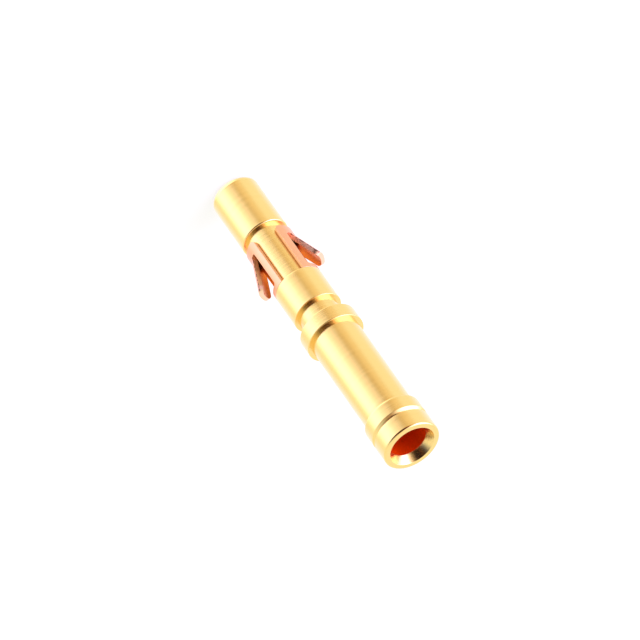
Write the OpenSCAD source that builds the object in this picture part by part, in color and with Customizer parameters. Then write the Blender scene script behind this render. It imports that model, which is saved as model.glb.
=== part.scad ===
// Crimp pin contact: a turned, gold-plated body with a split spring clip
// snapped round its recess. Millimetres, +Z up. It stands on the flat nose of
// its pin, with the open wire barrel on top and the clip's gap towards -Y.

/* [Pin] */
// Diameter of the mating pin
pin_d = 2.56; // [2.3:0.02:2.9]
// Length of the mating pin, ahead of the clip's recess
pin_len = 3.4; // [2.5:0.05:5]
// Radius rolled round the front rim of the pin
pin_tip_r = 0.25; // [0.05:0.01:0.4]

/* [Clip recess and collar] */
// Diameter of the recess that the clip grips
recess_d = 2.12; // [1.8:0.02:2.3]
// Length of the recess
recess_len = 3.6; // [3:0.05:5]
// Diameter of the collar behind the clip
collar_d = 2.64; // [2.3:0.02:3]
// Length of the collar
collar_len = 2.05; // [1.2:0.05:3]

/* [Neck and flange] */
// Diameter of the neck between collar and flange
neck_d = 2.2; // [1.8:0.02:2.4]
// Length of the neck
neck_len = 1.05; // [0.6:0.05:1.6]
// Diameter of the seating flange
flange_d = 3.16; // [2.8:0.02:3.6]
// Thickness of the seating flange
flange_len = 0.85; // [0.5:0.05:1.4]

/* [Wire barrel] */
// Diameter of the crimp barrel
barrel_d = 2.7; // [2.5:0.02:3]
// Length of the crimp barrel, from the rear ring to the flange
barrel_len = 5.95; // [4.5:0.05:8]
// Diameter of the rear ring
ring_d = 3.12; // [2.8:0.02:3.6]
// Length of the rear ring
ring_len = 2.15; // [1.6:0.05:3]
// Width of the half-round groove in the rear ring
groove_w = 0.2; // [0.1:0.01:0.3]
// Distance from the mouth to the groove
groove_back = 1.05; // [0.6:0.05:1.3]

/* [Wire bore] */
// Diameter of the wire bore
bore_d = 2; // [1.6:0.02:2.2]
// Depth of the bore at full diameter, from the mouth
bore_depth = 7.3; // [5:0.1:8.2]
// Angle of the drill point at the end of the bore
drill_a = 118; // [90:1:140]
// Diameter of the countersink at the mouth
sink_d = 2.44; // [2.3:0.02:2.6]
// Depth of the countersink
sink_depth = 0.43; // [0.1:0.01:0.8]
// Diameter of the inspection hole, on the side away from the clip's gap
sight_d = 0.8; // [0.5:0.05:1.2]
// Distance from the mouth to the inspection hole
sight_back = 6.4; // [4.5:0.1:7]

/* [Broken rims] */
// Radius on the rims of the collar and the flange
edge_r = 0.03; // [0.01:0.01:0.06]
// Radius on the rear rim of the pin
pin_edge_r = 0.06; // [0.02:0.01:0.12]
// Radius on the front rim of the rear ring
ring_edge_r = 0.08; // [0.02:0.01:0.15]
// Radius on the outer rim of the mouth
mouth_edge_r = 0.1; // [0.02:0.01:0.15]

/* [Clip band] */
// Thickness of the clip's sheet
sheet_t = 0.25; // [0.15:0.01:0.32]
// Clearance between the clip and the floor of the recess
clip_clearance = 0.01; // [0.005:0.005:0.04]
// Free length between the clip and the pin's rear shoulder
clip_play = 0.45; // [0.2:0.05:0.6]
// Angle of the gap between the band's two ends
gap_a = 60; // [40:1:76]
// Radius on the front corners of the band's two ends
corner_r = 0.2; // [0.05:0.01:0.25]

/* [Spring tines] */
// Angle from the middle of the gap round to the middle of each tine
tine_at = 95.5; // [92:0.5:99]
// Angle of the window round each tine
window_a = 94; // [82:1:98]
// Radius in the corners of each window
window_r = 0.12; // [0.04:0.01:0.14]
// Width of the band left ahead of the windows
front_hoop = 0.55; // [0.4:0.05:1]
// Width of the band left behind the windows
rear_hoop = 0.3; // [0.2:0.05:0.6]
// Angle of each tine, measured round the band
tine_a = 64; // [50:1:70]
// Straight length of each tine
tine_len = 1.8; // [1.2:0.05:2.2]
// Angle at which each tine stands off the band
flare_a = 19; // [8:0.5:24]
// Outer radius of the bend at the root of each tine
bend_r = 0.2; // [0.1:0.05:0.6]
// Radius on the corners of each tine's tip
tip_r = 0.3; // [0.05:0.01:0.4]

/* [Hidden] */
$fn = 96;

gold = [0.93, 0.76, 0.38];
copper = [0.93, 0.66, 0.52];
// How far a cutter runs past the surface that it cuts
over = 0.05;
// How much wider than its corner a round through the sheet is cut, so that
// it crosses the two edges it joins and doesn't just graze them
graze = 0.002;

// Places along the axis, counted from the mouth
barrel_z = ring_len;
flange_z = barrel_z + barrel_len;
neck_z = flange_z + flange_len;
collar_z = neck_z + neck_len;
recess_z = collar_z + collar_len;
pin_z = recess_z + recess_len;
total_len = pin_z + pin_len;

// The clip seats on the collar, and its play is all ahead of it
clip_ir = recess_d / 2 + clip_clearance;
clip_or = clip_ir + sheet_t;
clip_len = recess_len - clip_play;
root_z = recess_z + clip_len - front_hoop;
window_z = recess_z + rear_hoop;
tine_w = 2 * clip_or * sin(tine_a / 2);

// Stands what is built upwards from the mouth on its nose, and turns what is
// built on the +X side to -Y
module stand() {
    translate([0, 0, total_len]) rotate([180, 0, -90]) children();
}

// What a round of radius r takes off a square corner at the origin, whose
// material lies towards (su, sv). Its arc can be cut a little wider than r.
module corner_bit(r, su, sv, wider = 0) {
    difference() {
        translate([su > 0 ? -over : -r, sv > 0 ? -over : -r]) square(r + over);
        translate([su * r, sv * r]) circle(r + wider);
    }
}

// Half section of the bar after turning, before its rims are broken
module turned_bar() {
    polygon([
        [0, 0], [ring_d / 2, 0],
        [ring_d / 2, barrel_z], [barrel_d / 2, barrel_z],
        [barrel_d / 2, flange_z], [flange_d / 2, flange_z],
        [flange_d / 2, neck_z], [neck_d / 2, neck_z],
        [neck_d / 2, collar_z], [collar_d / 2, collar_z],
        [collar_d / 2, recess_z], [recess_d / 2, recess_z],
        [recess_d / 2, pin_z], [pin_d / 2, pin_z],
        [pin_d / 2, total_len], [0, total_len]
    ]);
}

// The round on one rim: diameter, place, radius, and 1 where the land lies
// ahead of the rim or -1 where it lies behind
module rim_round(d, z, r, ahead) {
    translate([d / 2, z]) corner_bit(r, -1, ahead);
}

// Half section of the wire bore, its countersink and its drill point
module wire_bore() {
    bore_r = bore_d / 2;
    polygon([
        [-over, -over], [sink_d / 2, -over], [sink_d / 2, 0],
        [bore_r, sink_depth], [bore_r, bore_depth],
        [0, bore_depth + bore_r / tan(drill_a / 2)], [-over, bore_depth]
    ]);
}

module body_section() {
    difference() {
        turned_bar();
        rim_round(ring_d, 0, mouth_edge_r, 1);
        rim_round(ring_d, barrel_z, ring_edge_r, -1);
        rim_round(flange_d, flange_z, edge_r, 1);
        rim_round(flange_d, neck_z, edge_r, -1);
        rim_round(collar_d, collar_z, edge_r, 1);
        rim_round(collar_d, recess_z, edge_r, -1);
        rim_round(pin_d, pin_z, pin_edge_r, 1);
        rim_round(pin_d, total_len, pin_tip_r, -1);
        translate([ring_d / 2, groove_back + groove_w / 2]) circle(d = groove_w);
        wire_bore();
    }
}

module contact_body() {
    color(gold) stand() difference() {
        rotate_extrude() body_section();
        translate([0, 0, sight_back]) rotate([0, -90, 0]) cylinder(d = sight_d, h = barrel_d);
    }
}

// A corner bit that goes through the clip's sheet at angle a and height z
module sheet_corner(a, z, r, su, sv) {
    rotate([0, 0, a]) translate([clip_ir - over, 0, z])
        rotate([90, 0, 90]) linear_extrude(sheet_t + 2 * over) corner_bit(r, su, sv, graze);
}

module clip_band() {
    difference() {
        rotate_extrude(angle = 360 - gap_a, start = gap_a / 2)
            translate([clip_ir, recess_z]) square([sheet_t, clip_len]);
        for (side = [-1, 1])
            sheet_corner(side * gap_a / 2, recess_z + clip_len, corner_r, side, -1);
    }
}

// Turns a piece of the +Y side to the tine's place, and repeats it as its
// mirror image across the gap
module each_side() {
    for (side = [0, 1])
        mirror([0, side, 0]) rotate([0, 0, tine_at - 90]) children();
}

// The window of the tine on the +Y side, with its four corners rounded
module tine_window() {
    difference() {
        rotate_extrude(angle = window_a, start = 90 - window_a / 2)
            translate([clip_ir - over, window_z]) square([sheet_t + 2 * over, root_z - window_z]);
        for (side = [-1, 1]) {
            sheet_corner(90 + side * window_a / 2, window_z, window_r, -side, 1);
            sheet_corner(90 + side * window_a / 2, root_z, window_r, -side, -1);
        }
    }
}

// Cross section of a tine, seen along it: a slice of the band, with the
// axis of its bend on the Y axis
module tine_section() {
    reach = 2 * clip_or;
    half_w = reach * tan(tine_a / 2);
    translate([bend_r + clip_or, 0]) intersection() {
        difference() {
            circle(clip_or);
            circle(clip_ir);
        }
        polygon([[0, 0], [-reach, half_w], [-reach, -half_w]]);
    }
}

// The tine on the +Y side: a bend about the line above its root, and then
// a straight spring that keeps the curve of the band
module tine() {
    translate([0, clip_or + bend_r, root_z]) rotate([0, 90, 0]) rotate([0, 0, -90]) {
        rotate_extrude(angle = flare_a) tine_section();
        rotate([0, 0, flare_a]) difference() {
            translate([0, tine_len, 0]) rotate([90, 0, 0]) linear_extrude(tine_len) tine_section();
            for (side = [-1, 1])
                translate([bend_r - over, tine_len, side * tine_w / 2]) rotate([0, 90, 0])
                    linear_extrude(clip_or) corner_bit(tip_r, side, -1, graze);
        }
    }
}

module retention_clip() {
    color(copper) stand() {
        difference() {
            clip_band();
            each_side() tine_window();
        }
        each_side() tine();
    }
}

contact_body();
retention_clip();
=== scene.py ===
import math

import bmesh
import bpy
import numpy as np
from mathutils import Matrix, Vector


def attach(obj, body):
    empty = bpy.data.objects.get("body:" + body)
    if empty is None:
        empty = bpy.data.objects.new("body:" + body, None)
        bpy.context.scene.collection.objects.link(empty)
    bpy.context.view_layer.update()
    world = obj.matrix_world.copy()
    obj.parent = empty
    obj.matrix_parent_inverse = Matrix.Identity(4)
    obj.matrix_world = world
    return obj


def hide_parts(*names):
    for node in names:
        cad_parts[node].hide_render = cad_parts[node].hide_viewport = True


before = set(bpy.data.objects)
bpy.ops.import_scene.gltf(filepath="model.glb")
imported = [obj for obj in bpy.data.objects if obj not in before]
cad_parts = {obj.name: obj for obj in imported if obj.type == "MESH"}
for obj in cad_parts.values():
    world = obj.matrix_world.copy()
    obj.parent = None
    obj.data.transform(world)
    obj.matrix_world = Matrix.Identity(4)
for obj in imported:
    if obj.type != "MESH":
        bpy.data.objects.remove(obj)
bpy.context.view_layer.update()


# Camera. It looks down past the wire mouth, from a little beside the clip's
# gap, turned so that the contact runs from the pin at upper left to the mouth
# at lower right, and from so far away that parallel edges stay parallel.
mm = 0.001
beside_gap = 3.6
off_axis, turned = math.radians(54.4), math.radians(54.77)
distance, focal_length, sensor = 802.4 * mm, 900, 36
aim_up_axis, aim_left, aim_down = 9.52 * mm, 0.13 * mm, 0.035 * mm

round_axis = Matrix.Rotation(math.radians(beside_gap), 3, "Z")
towards = round_axis @ Vector((0, -math.sin(off_axis), math.cos(off_axis)))
mouthward = round_axis @ Vector((0, math.cos(off_axis), math.sin(off_axis)))
across = round_axis @ Vector((-1, 0, 0))
image_right = math.cos(turned) * mouthward + math.sin(turned) * across
image_up = -math.sin(turned) * mouthward + math.cos(turned) * across
aim = Vector((0, 0, aim_up_axis)) - aim_left * image_right - aim_down * image_up
placed = Matrix((image_right, image_up, towards)).transposed().to_4x4()
placed.translation = aim + distance * towards
camera = bpy.data.objects.new("camera", bpy.data.cameras.new("camera"))
camera.data.lens, camera.data.sensor_width = focal_length, sensor
camera.data.clip_start, camera.data.clip_end = 0.1, 20
camera.matrix_world = placed
bpy.context.scene.collection.objects.link(camera)
bpy.context.scene.camera = camera


# Light. One wide soft environment: a pale tent with a large lamp to the side,
# a lamp low at the other side, and the dark camera in front. The camera
# itself sees plain white round the contact.
class Signal:
    """A value on its way through a shader. Arithmetic on it adds Math nodes,
    and node() adds any other node."""

    def __init__(self, tree, socket=None):
        self.tree, self.socket = tree, socket

    def __getitem__(self, name):
        return Signal(self.tree, self.socket.node.outputs[name])

    def node(self, kind, settings={}, inputs={}, out=0):
        """A new node: its settings first, then a value or a link for each
        socket that is named or numbered."""
        made = self.tree.nodes.new("ShaderNode" + kind)
        for name, value in settings.items():
            setattr(made, name, value)
        for name, value in inputs.items():
            if isinstance(value, Signal):
                self.tree.links.new(value.socket, made.inputs[name])
            else:
                made.inputs[name].default_value = value
        return Signal(self.tree, made.outputs[out] if len(made.outputs) else None)

    def math(self, how, *values):
        """The Math node's result for these values."""
        return self.node("Math", {"operation": how}, dict(enumerate(values)))

    def __add__(self, other):
        return self.math("ADD", self, other)

    __radd__ = __add__

    def __sub__(self, other):
        return self.math("SUBTRACT", self, other)

    def __rsub__(self, other):
        return self.math("SUBTRACT", other, self)

    def __mul__(self, other):
        return self.math("MULTIPLY", self, other)

    def __abs__(self):
        return self.math("ABSOLUTE", self)

    def root(self):
        return self.math("SQRT", self)

    def step(self, low, high):
        """0 below low, 1 above high, and an S curve between them."""
        return self.node("MapRange", {"interpolation_type": "SMOOTHSTEP"},
                         {"Value": self, "From Min": low, "From Max": high})

    def mix(self, low, high):
        """The colour low where this is 0, and high where it is 1."""
        low, high = (c if isinstance(c, Signal) else (*c, 1) for c in (low, high))
        return self.node("Mix", {"data_type": "RGBA"}, {0: self, 6: low, 7: high}, out=2)


def fresh(owner):
    """An empty shader tree in a material or a world."""
    owner.use_nodes = True
    owner.node_tree.nodes.clear()
    return Signal(owner.node_tree)


tent_glow = (1.06, 1.10, 0.93)
white = (1, 1, 1, 1)
# Each patch: degrees round from the camera's side, degrees up, the angles
# from its middle at which it is full and has faded out, and what it adds
patches = (
    (-10, 5, 15, 64, (-1.02, -1.10, -0.97)),
    (-55, 36, 5, 28, (-0.25, -0.20, 0.0)),
    (8, 36, 6, 24, (-0.22, -0.25, -0.18)),
    (-8, 56, 8, 22, (-0.20, -0.35, -0.35)),
    (86, 35, 11, 45, (3.0, 1.85, 3.6)),
    (64, 10, 6, 17, (1.0, 1.0, 4.0)),
    (-37, -62, 1, 49, (1.5, 1.42, 1.5)),
    (-52, -36, 8, 30, (0.0, 0.0, 0.38)),
    (37, -11, 27, 34, (-0.07, -0.26, -0.39)),
    (180, -28, 35, 66, (0.4, 0.1, 0.44)),
)

tent = bpy.data.worlds.new("tent")
bpy.context.scene.world = tent
shader = fresh(tent)
sight = shader.node("TexCoord")["Generated"]
glow = shader.node("CombineXYZ", inputs=dict(enumerate(tent_glow)))
for degrees_round, degrees_up, full, faded, adds in patches:
    a, e = math.radians(degrees_round - beside_gap), math.radians(degrees_up)
    middle = (-math.sin(a) * math.cos(e), -math.cos(a) * math.cos(e), math.sin(e))
    facing = shader.node("VectorMath", {"operation": "DOT_PRODUCT"}, {0: sight, 1: middle}, out=1)
    patch = facing.step(math.cos(math.radians(faded)), math.cos(math.radians(full)))
    glow = shader.node("VectorMath", {"operation": "MULTIPLY_ADD"}, {0: patch, 1: adds, 2: glow})
glow = shader.node("VectorMath", {"operation": "MAXIMUM"}, {0: glow, 1: (0, 0, 0)})
lit = shader.node("Background", inputs={"Color": glow, "Strength": 1.0})
seen = shader.node("Background", inputs={"Color": white, "Strength": 1.0})
is_camera = shader.node("LightPath")["Is Camera Ray"]
shown = shader.node("MixShader", inputs={0: is_camera, 1: lit, 2: seen})
shader.node("OutputWorld", inputs={"Surface": shown})


# Table. A plain pale sheet that the contact stands on. The camera sees a glow
# on it, which lights nothing. The metal doesn't mirror the sheet, but the part
# of the tent that lies below it.
reach = 3.0
paper_grey, seen_glow = 0.22, 0.8

sheet = bpy.data.meshes.new("table")
corners = [(-reach, -reach, 0), (reach, -reach, 0), (reach, reach, 0), (-reach, reach, 0)]
sheet.from_pydata(corners, [], [(0, 1, 2, 3)])
table = bpy.data.objects.new("table", sheet)
bpy.context.scene.collection.objects.link(table)
table.visible_glossy = False

paper = bpy.data.materials.new("table_paper")
shader = fresh(paper)
matt = shader.node("BsdfDiffuse", inputs={"Color": (paper_grey, paper_grey, paper_grey, 1)})
is_camera = shader.node("LightPath")["Is Camera Ray"]
added = shader.node("Emission", inputs={"Color": white, "Strength": is_camera * seen_glow})
both = shader.node("AddShader", inputs={0: matt, 1: added})
shader.node("OutputMaterial", inputs={"Surface": both})
sheet.materials.append(paper)


# Contact body. Turned from one bar of copper alloy: pin, clip recess, collar,
# neck, flange, crimp barrel and rear ring, bored for the wire, with an
# inspection hole through the barrel, then gold plated.

# Radii, and heights above the pin's nose, in millimetres
pin_r, recess_r, collar_r, neck_r, flange_r = 1.28, 1.06, 1.32, 1.1, 1.58
barrel_r, ring_r, mouth_r, bore_r = 1.35, 1.56, 1.25, 1.0
recess_z, collar_z, neck_z, flange_z, barrel_z = 3.4, 7.0, 9.05, 10.1, 10.95
ring_z, groove_z, mouth_z = 16.9, 17.87, 19.05
drill_point_z, bore_z, sink_z = 11.15, 11.75, 18.62
nose_round, shoulder_round, edge_round, ring_round, mouth_round = 0.25, 0.06, 0.03, 0.08, 0.1
groove, crisp, sink_round = 0.13, 0.01, 0.02
# The inspection hole, and half the height of the band that it is cut in
hole_z, hole_r, band_half = 12.65, 0.4, 0.6
band_from, band_to = hole_z - band_half, hole_z + band_half
# Half the columns, and all the rows, of the block of cells that it takes out
hole_columns, hole_rows = 18, 12


def rounded(corners, steps=4, hold=0.02 * mm):
    """The profile, in metres, through corners of (radius, height, round) in
    millimetres. Each round is the arc that touches both of the corner's
    lines: its middle lies on their bisector at round / sin(half the angle).
    A point is held on each line a little past the arc. The two ends stay
    sharp."""
    data = np.array(corners, float) * mm
    p, r = data[:, :2], data[1:-1, 2:]
    back, on = p[:-2] - p[1:-1], p[2:] - p[1:-1]
    back /= np.linalg.norm(back, axis=1, keepdims=True)
    on /= np.linalg.norm(on, axis=1, keepdims=True)
    half = np.arccos(np.clip((back * on).sum(1, keepdims=True), -1, 1)) / 2
    inward = (back + on) / np.linalg.norm(back + on, axis=1, keepdims=True)
    along = (on - back) / np.linalg.norm(on - back, axis=1, keepdims=True)
    middle = p[1:-1] + inward * r / np.sin(half)
    sweep = np.linspace(-1, 1, steps + 1)[None, :, None] * (np.pi / 2 - half)[:, None]
    turn = np.sin(sweep) * along[:, None] - np.cos(sweep) * inward[:, None]
    arc = middle[:, None] + r[:, None] * turn
    past = r / np.tan(half) + hold
    held = [(p[1:-1] + back * past)[:, None], arc, (p[1:-1] + on * past)[:, None]]
    line = np.vstack([p[:1], np.concatenate(held, axis=1).reshape(-1, 2), p[-1:]])
    apart = np.linalg.norm(np.diff(line, axis=0), axis=1) > 1e-8
    return line[np.concatenate([[True], apart])]


def lathe(profile, columns=192):
    """Every profile point turned round the upright axis: x = r sin a and
    y = -r cos a, so that column 0 faces the clip's gap."""
    a = np.arange(columns) * 2 * np.pi / columns
    r, z = profile[:, :1], profile[:, 1:]
    return np.stack([r * np.sin(a), -r * np.cos(a), z + 0 * a], axis=-1)


def panels(points, closed=True, missing=None):
    """The four corners of each cell of a grid of points, less those missing."""
    rows, columns = points.shape[:2]
    i = np.arange(rows * columns).reshape(rows, columns)
    if closed:
        i = np.hstack([i, i[:, :1]])
    cells = np.stack([i[:-1, :-1], i[:-1, 1:], i[1:, 1:], i[1:, :-1]], axis=-1)
    keep = np.ones(cells.shape[:2], bool) if missing is None else ~missing
    return cells[keep]


def join(name, grids, crease):
    """One piece from several grids of points and cells. Points that meet
    become one, the faces are turned outwards, and edges of more than crease
    degrees look sharp."""
    points = [g.reshape(-1, 3) for g, cells in grids]
    starts = np.cumsum([0] + [len(p) for p in points[:-1]])
    faces = np.vstack([cells + start for (g, cells), start in zip(grids, starts)])
    mesh = bpy.data.meshes.new(name)
    mesh.from_pydata(np.vstack(points), [], faces.tolist())
    work = bmesh.new()
    work.from_mesh(mesh)
    bmesh.ops.remove_doubles(work, verts=work.verts, dist=1e-7)
    bmesh.ops.recalc_face_normals(work, faces=work.faces)
    work.to_mesh(mesh)
    work.free()
    mesh.shade_smooth()
    mesh.set_sharp_from_angle(angle=math.radians(crease))
    piece = bpy.data.objects.new(name, mesh)
    bpy.context.scene.collection.objects.link(piece)
    return piece


def holed_band(radius):
    """The stretch of a round wall that the inspection hole goes through: a
    grid with a block of cells left out, and rings that pass in straight lines
    of angle and height from the block's border to the hole's edge, where the
    drill's circle meets the wall at the angle arcsin(x / radius)."""
    heights = np.linspace(-band_half, band_half, hole_rows + 1)
    band = lathe(np.stack([radius + 0 * heights, hole_z + heights], axis=1) * mm)
    columns, middle = band.shape[1], band.shape[1] // 2
    left_out = np.zeros((hole_rows, columns), bool)
    left_out[:, middle - hole_columns:middle + hole_columns] = True
    run = np.arange(2 * hole_columns) / (2 * hole_columns)
    rise = np.arange(hole_rows) / hole_rows
    side = np.concatenate([run, 1 + 0 * rise, 1 - run, 0 * rise]) * 2 - 1
    up = np.concatenate([0 * run, rise, 1 + 0 * run, 1 - rise]) * 2 - 1
    turn = np.arctan2(up, side)
    # 0 at the hole's edge, and 1 at the block's border
    out = np.array([0, 0.04, 0.12, 0.3, 0.55, 0.8, 1])[:, None]
    edge_a = np.arcsin(hole_r * np.cos(turn) / radius)
    a = np.pi + (1 - out) * edge_a + out * side * hole_columns * 2 * np.pi / columns
    z = hole_z + (1 - out) * hole_r * np.sin(turn) + out * up * band_half
    rings = np.stack([radius * np.sin(a), -radius * np.cos(a), z], axis=-1) * mm
    return [(band, panels(band, missing=left_out)), (rings, panels(rings))], rings[0]


outer_band, outer_edge = holed_band(barrel_r)
inner_band, inner_edge = holed_band(bore_r)
hole_wall = np.linspace(outer_edge, inner_edge, 5)
front_half = rounded([
    (0, 0, 0), (pin_r, 0, nose_round), (pin_r, recess_z, shoulder_round),
    (recess_r, recess_z, 0), (recess_r, collar_z, 0),
    (collar_r, collar_z, edge_round), (collar_r, neck_z, edge_round),
    (neck_r, neck_z, 0), (neck_r, flange_z, 0),
    (flange_r, flange_z, edge_round), (flange_r, barrel_z, edge_round),
    (barrel_r, barrel_z, 0), (barrel_r, band_from, 0)])
rear_half = rounded([
    (barrel_r, band_to, 0), (barrel_r, ring_z, 0), (ring_r, ring_z, ring_round),
    (ring_r, groove_z - groove, crisp), (ring_r - groove, groove_z, crisp),
    (ring_r, groove_z + groove, crisp), (ring_r, mouth_z, mouth_round),
    (mouth_r, mouth_z, crisp), (bore_r, sink_z, sink_round), (bore_r, band_to, 0)])
bore_end = rounded([(bore_r, band_from, 0), (bore_r, bore_z, 0), (0, drill_point_z, 0)])
turned_grids = [(g, panels(g)) for g in map(lathe, (front_half, rear_half, bore_end))]
hole_grids = outer_band + inner_band + [(hole_wall, panels(hole_wall))]
turned_body = join("turned_body", turned_grids + hole_grids, crease=35)

gold_deep, gold_pale, bore_reflection_red = (0.96, 0.66, 0.27), (0.97, 0.70, 0.32), (0.68, 0.05, 0.0)
turning_mark, gold_rough = 0.0012 * mm, 0.15
fine_per_mm, broad_per_mm, specks_per_m = 22.0, 5.0, 2600.0

gold = bpy.data.materials.new("gold_plate")
shader = fresh(gold)
spot = shader.node("TexCoord")["Object"]
place = shader.node("SeparateXYZ", inputs={0: spot})
radius = (place["X"] * place["X"] + place["Y"] * place["Y"]).root() * 1000
height = place["Z"] * 1000
# The cutter's marks run round the axis, so they change with radius and height
cut = radius + height
fine = shader.node("TexNoise", {"noise_dimensions": "1D"}, {
    "W": cut, "Scale": fine_per_mm, "Detail": 3.0})
broad = shader.node("TexNoise", {"noise_dimensions": "1D"}, {
    "W": cut, "Scale": broad_per_mm, "Detail": 2.0})
specks = shader.node("TexNoise", {}, {"Vector": spot, "Scale": specks_per_m, "Detail": 3.0})
lines = shader.node("Bump", {}, {
    "Strength": 1.0, "Distance": turning_mark, "Height": fine + broad * 1.2})
# Painted reflection: down the bore the gold turns deep red and loses its shine. This stands in
# for the light that the gold walls pass back and forth many times.
in_bore = (radius.step(bore_r + 0.03, bore_r + 0.01)
           * height.step(barrel_z - 0.05, barrel_z + 0.05)
           * height.step(sink_z + 0.01, sink_z - 0.04))
plate = (broad * 0.5 + specks * 0.5).mix(gold_deep, gold_pale)
metal = shader.node("BsdfPrincipled", {}, {
    "Base Color": in_bore.mix(plate, bore_reflection_red), "Metallic": 1 - in_bore,
    "Roughness": gold_rough + fine * 0.08 + specks * 0.06, "Specular IOR Level": 0.1,
    "Normal": lines})
shader.node("OutputMaterial", inputs={"Surface": metal})
turned_body.data.materials.append(gold)
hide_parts("contact_body")
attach(turned_body, "root")


# Spring clip. Blanked from thin beryllium copper strip with two tines lanced
# in windows, rolled to a split band and snapped round the recess, with the
# tines bent outwards. Its cut edges are bare and sharp.
sheet_t, clip_or = 0.25 * mm, 1.32 * mm
sheet_r = clip_or - sheet_t / 2
# Degrees round from the middle of the gap
gap_half, tine_at, window_from, window_to = 30, 95.5, 48.5, 142.5
mouth = mouth_z * mm
# Distances from the mouth
rear, window_low, window_high, front = 12.05 * mm, 12.35 * mm, 14.65 * mm, 15.2 * mm
corner_r, window_r, tip_r = 0.2 * mm, 0.12 * mm, 0.3 * mm
tine_len, tine_half, bend_r, flare = 1.8 * mm, math.radians(32), 0.2 * mm, math.radians(19)
bend_rows, tine_rows = 6, 16
tine_w = clip_or * math.sin(tine_half)
worn_w = 0.012 * mm

# Columns close up towards each side of a tine, where its tip is rounded
flat_part = np.linspace(0, tine_w - tip_r, 8)
round_part = tine_w - tip_r + tip_r * np.sin(np.radians(np.linspace(11.25, 90, 8)))
half_columns = np.concatenate([flat_part, round_part])
tine_columns = np.arcsin(np.concatenate([-half_columns[:0:-1], half_columns]) / clip_or)

# The band's columns in degrees and its rows, with lines through every round
quarters = np.linspace(0, 1, 5)
window_turn = np.degrees(window_r / clip_or) * quarters
corner_turn = np.degrees(corner_r / clip_or) * quarters
angles = np.unique(np.round(np.concatenate([
    gap_half + corner_turn, window_from - window_turn, window_from + window_turn,
    tine_at + np.degrees(tine_columns), window_to - window_turn, window_to + window_turn,
    np.linspace(150, 180, 7)]), 6))
places = np.unique(np.round(np.concatenate([
    [rear, rear + 0.09 * mm], window_low - window_r * quarters, window_low + window_r * quarters,
    np.linspace(window_low, window_high, 12)[1:-1], window_high - window_r * quarters,
    window_high + window_r * quarters, front - corner_r * quarters]), 9))


def round_off(u, v, u0, v0, r, su, sv):
    """Bends the lines of a grid round a corner at (u0, v0) whose round has
    its middle at r towards (su, sv). Within a square of r round that middle
    each square ring becomes the circle through its sides; past it the rings
    pass back from circle to square by twice r."""
    x, y = r - su * (u - u0), r - sv * (v - v0)
    ring = np.maximum(x, y)
    inside = (x > 0) & (y > 0) & (ring < 2 * r)
    safe = np.where(inside, ring, 1)
    turn = np.pi / 4 * np.where(x >= y, y / safe, 2 - x / safe)
    share = np.clip(2 - safe / r, 0, 1)
    new_x = x + share * (ring * np.cos(turn) - x)
    new_y = y + share * (ring * np.sin(turn) - y)
    new_u, new_v = u0 + su * (r - new_x), v0 + sv * (r - new_y)
    return np.where(inside, new_u, u), np.where(inside, new_v, v)


def half_band(side):
    """Half of the rolled band on its middle surface, from the gap's edge
    round to the back, with the window's cells left out."""
    u, v = np.meshgrid(np.radians(angles) * clip_or, places)
    first, last = (math.radians(d) * clip_or for d in (window_from, window_to))
    u, v = round_off(u, v, math.radians(gap_half) * clip_or, front, corner_r, 1, -1)
    for u0, su in ((first, 1), (last, -1)):
        for v0, sv in ((window_low, 1), (window_high, -1)):
            u, v = round_off(u, v, u0, v0, window_r, su, sv)
    a = u / clip_or
    points = np.stack([-side * sheet_r * np.sin(a), -sheet_r * np.cos(a), mouth - v], axis=-1)
    across_window = (angles[:-1] > window_from - 1e-4) & (angles[:-1] < window_to - 1e-4)
    along_window = (places[:-1] > window_low - 1e-9) & (places[:-1] < window_high - 1e-9)
    window = along_window[:, None] & across_window
    return points, panels(points, closed=False, missing=window)


def tine(side):
    """A tine on its middle surface: a slice of the band turned about a line
    outside its root, and then drawn out straight. Its length falls off near
    each side by the quarter circle that rounds the tip. It is built straight
    across from the gap's sides and then turned to its place."""
    a = tine_columns
    past = np.clip(np.abs(clip_or * np.sin(a)) - (tine_w - tip_r), 0, tip_r)
    length = tine_len - tip_r + np.sqrt(tip_r ** 2 - past ** 2)
    turn = flare * np.concatenate([np.linspace(0, 1, bend_rows), np.ones(tine_rows)])[:, None]
    shares = np.concatenate([np.zeros(bend_rows), np.linspace(0, 1, tine_rows + 1)[1:]])
    drawn = shares[:, None] * length
    from_line = clip_or + bend_r - sheet_r * np.cos(a)
    out = clip_or + bend_r - from_line * np.cos(turn) + drawn * np.sin(turn)
    up = mouth - window_high + from_line * np.sin(turn) + drawn * np.cos(turn)
    along, on = sheet_r * np.sin(a), math.radians(tine_at - 90)
    points = np.stack([side * (along * math.sin(on) - out * math.cos(on)),
                       along * math.cos(on) + out * math.sin(on), up], axis=-1)
    return points, panels(points, closed=False)


spring_clip = join("spring_clip", [half_band(1), half_band(-1), tine(1), tine(-1)], crease=80)
wall = spring_clip.modifiers.new("strip", "SOLIDIFY")
wall.thickness, wall.offset = sheet_t, 0
wall.use_even_offset, wall.use_quality_normals = True, True
# The inner faces get the second material, a darker, redder copy of the copper that is painted
# shade, and the cut edges the third, a paler copy that is painted highlight
wall.material_offset, wall.material_offset_rim = 1, 2
worn = spring_clip.modifiers.new("sheared_edges", "BEVEL")
worn.width, worn.segments = worn_w, 2
worn.limit_method, worn.angle_limit = "ANGLE", math.radians(50)
worn.harden_normals, worn.use_clamp_overlap = True, False

# The brown is painted shade at the foot of the sheared faces, next to the recess; the dark is the
# burrs.
gap_shade_brown, burr_dark = (0.66, 0.32, 0.12), (0.16, 0.07, 0.09)
grain, streaks_per_m, mottle_per_m = 0.0015 * mm, 1400.0, 5200.0
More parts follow.
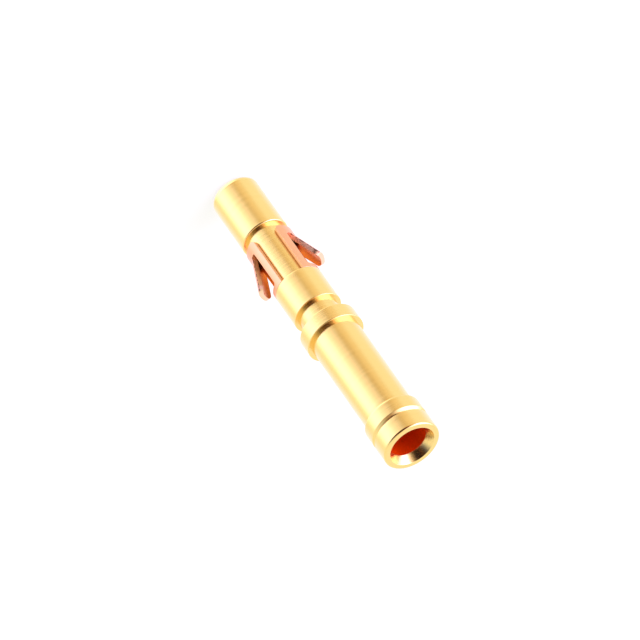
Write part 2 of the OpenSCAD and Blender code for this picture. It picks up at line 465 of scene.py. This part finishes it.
# The height in millimetres at which the tines leave the band, and how far
# they lean out for each millimetre of height
root_z, lean = 4.43, 0.343


def copper(name, low, high, rough, sheared=False):
    """Beryllium copper that varies between two tones. A sheared face has painted
    shade that darkens it towards the axis, over the recess, and a tine's has a
    dark, broken lip of burrs along its outer corner, which leans out with height by the flare."""
    made = bpy.data.materials.new(name)
    shader = fresh(made)
    spot = shader.node("TexCoord")["Object"]
    streaks = shader.node("TexNoise", {}, {"Vector": spot, "Scale": streaks_per_m, "Detail": 4.0})
    mottle = shader.node("TexNoise", {}, {"Vector": spot, "Scale": mottle_per_m, "Detail": 3.0})
    tone = (streaks * 0.6 + mottle * 0.4).mix(low, high)
    if sheared:
        place = shader.node("SeparateXYZ", inputs={0: spot})
        radius = (place["X"] * place["X"] + place["Y"] * place["Y"]).root() * 1000
        height = place["Z"] * 1000
        # Painted shade: the sheared faces turn brown towards the axis, in the gap's shadow over
        # the recess.
        gap_shade = radius.step(1.16, 1.12) * 0.8
        outward = abs(place["X"]) * 1000 - (height - root_z) * lean
        gap_side = (place["Y"] * -1000).step(0.30, 0.40)
        lip = outward.step(1.11, 1.15) * gap_side * height.step(root_z - 0.05, root_z)
        burrs = mottle.step(0.42, 0.56) * lip * 0.85
        tone = burrs.mix(gap_shade.mix(tone, gap_shade_brown), burr_dark)
    rolled = shader.node("Bump", {}, {
        "Strength": 1.0, "Distance": grain, "Height": mottle + streaks})
    metal = shader.node("BsdfPrincipled", {}, {
        "Base Color": tone, "Metallic": 1.0, "Roughness": mottle * 0.12 + rough,
        "Normal": rolled})
    shader.node("OutputMaterial", inputs={"Surface": metal})
    spring_clip.data.materials.append(made)


copper("clip_copper", (0.93, 0.43, 0.25), (0.95, 0.50, 0.34), 0.26)
# Painted shade: the inner faces are a darker, redder copy of the same copper.
copper("clip_inner_face", (0.68, 0.25, 0.06), (0.78, 0.31, 0.10), 0.26)
# Painted highlight: the cut edges are a paler copy of the same copper.
copper("clip_sheared_edge", (0.98, 0.60, 0.44), (1.0, 0.70, 0.54), 0.34, sheared=True)
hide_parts("retention_clip")
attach(spring_clip, "root")


# View. Plain colour handling.
bpy.context.scene.view_settings.view_transform = "Standard"
